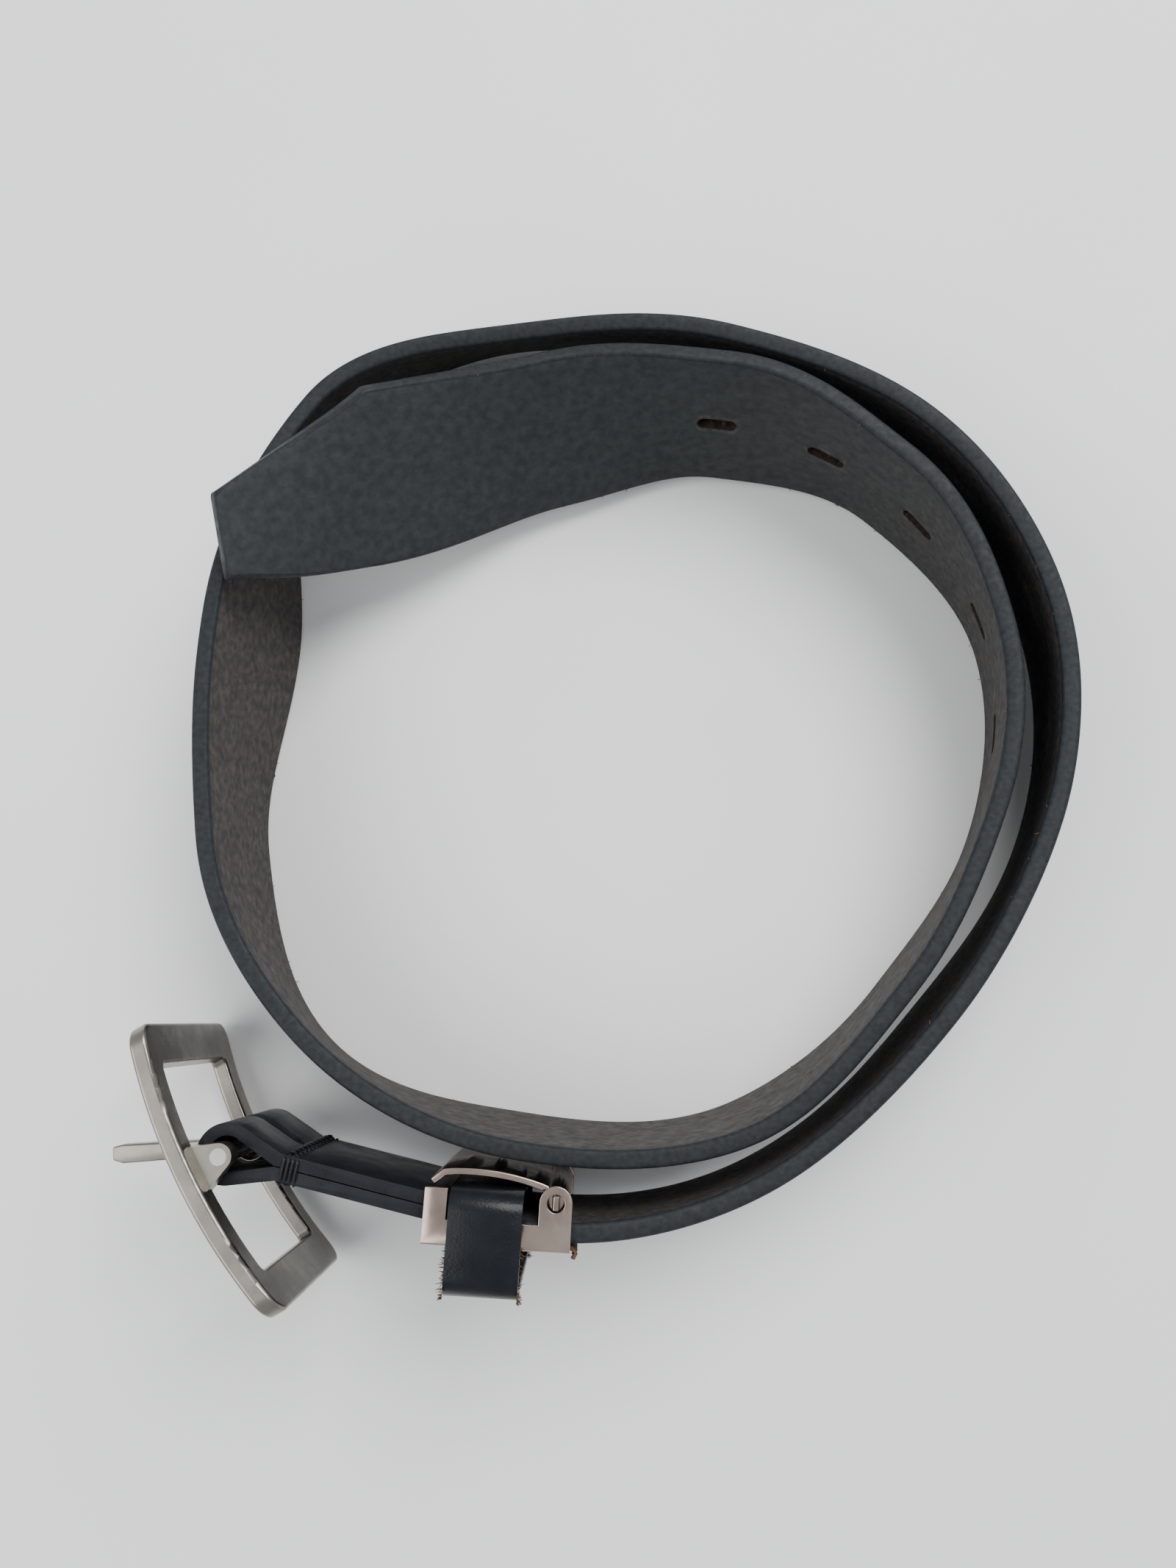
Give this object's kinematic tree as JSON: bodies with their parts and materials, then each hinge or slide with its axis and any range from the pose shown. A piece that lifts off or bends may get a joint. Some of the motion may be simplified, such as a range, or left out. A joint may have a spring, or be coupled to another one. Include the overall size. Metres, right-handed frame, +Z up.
{
  "type": "leather belt",
  "caption": "Coiled dark leather belt with an arched centre-bar buckle, a folded chape, a lever clamp on the strap end and a leather keeper loop.",
  "frame": {"origin": "under the middle of the coiled belt, on the surface it stands on", "axes": "+Z up, across the strap's width; +Y from the buckle side to the far side of the coil"},
  "size_m": [0.1967, 0.2119, 0.0527],
  "materials": {
    "strap_leather": "dark charcoal, smooth painted edge, brownish flesh side",
    "chape_leather": "smooth near-black blue leather",
    "keeper_leather": "smooth semi-gloss navy-black leather, raw frayed edges",
    "thread": "waxed black thread",
    "satin_nickel": "antique satin nickel, bright worn edges",
    "bar_steel": "plain plated steel",
    "clamp_nickel": "polished nickel sheet",
    "liner_suede": "raw brown suede"
  },
  "bodies": {
    "belt": {"strap": "strap_leather", "chape": "chape_leather", "chape_stitching": "thread", "clamp_body": "clamp_nickel", "clamp_liner": "liner_suede", "chape_rivets": "bar_steel", "keeper_loop": "keeper_leather", "keeper_staple": "bar_steel"},
    "buckle": {"buckle_frame": "satin_nickel", "centre_bar": "bar_steel"},
    "prong": {"prong": "satin_nickel"},
    "lever": {"clamp_lever": "clamp_nickel"}
  },
  "joints": [
    {"name": "frame_swing", "type": "hinge", "parent": "belt", "child": "buckle", "pos_m": [-0.0713, -0.0777, 0.0263], "axis": [0.0399, 0.0598, 0.9974], "range_deg": [-20, 42]},
    {"name": "prong_swing", "type": "hinge", "parent": "buckle", "child": "prong", "pos_m": [-0.0713, -0.0777, 0.0263], "axis": [0.0399, 0.0598, 0.9974], "range_deg": [-44, 75]},
    {"name": "lever_open", "type": "hinge", "parent": "belt", "child": "lever", "pos_m": [-0.01057, -0.08609, 0.02437], "axis": [0.0399, 0.0598, 0.9974], "range_deg": [-5, 0]}
  ]
}
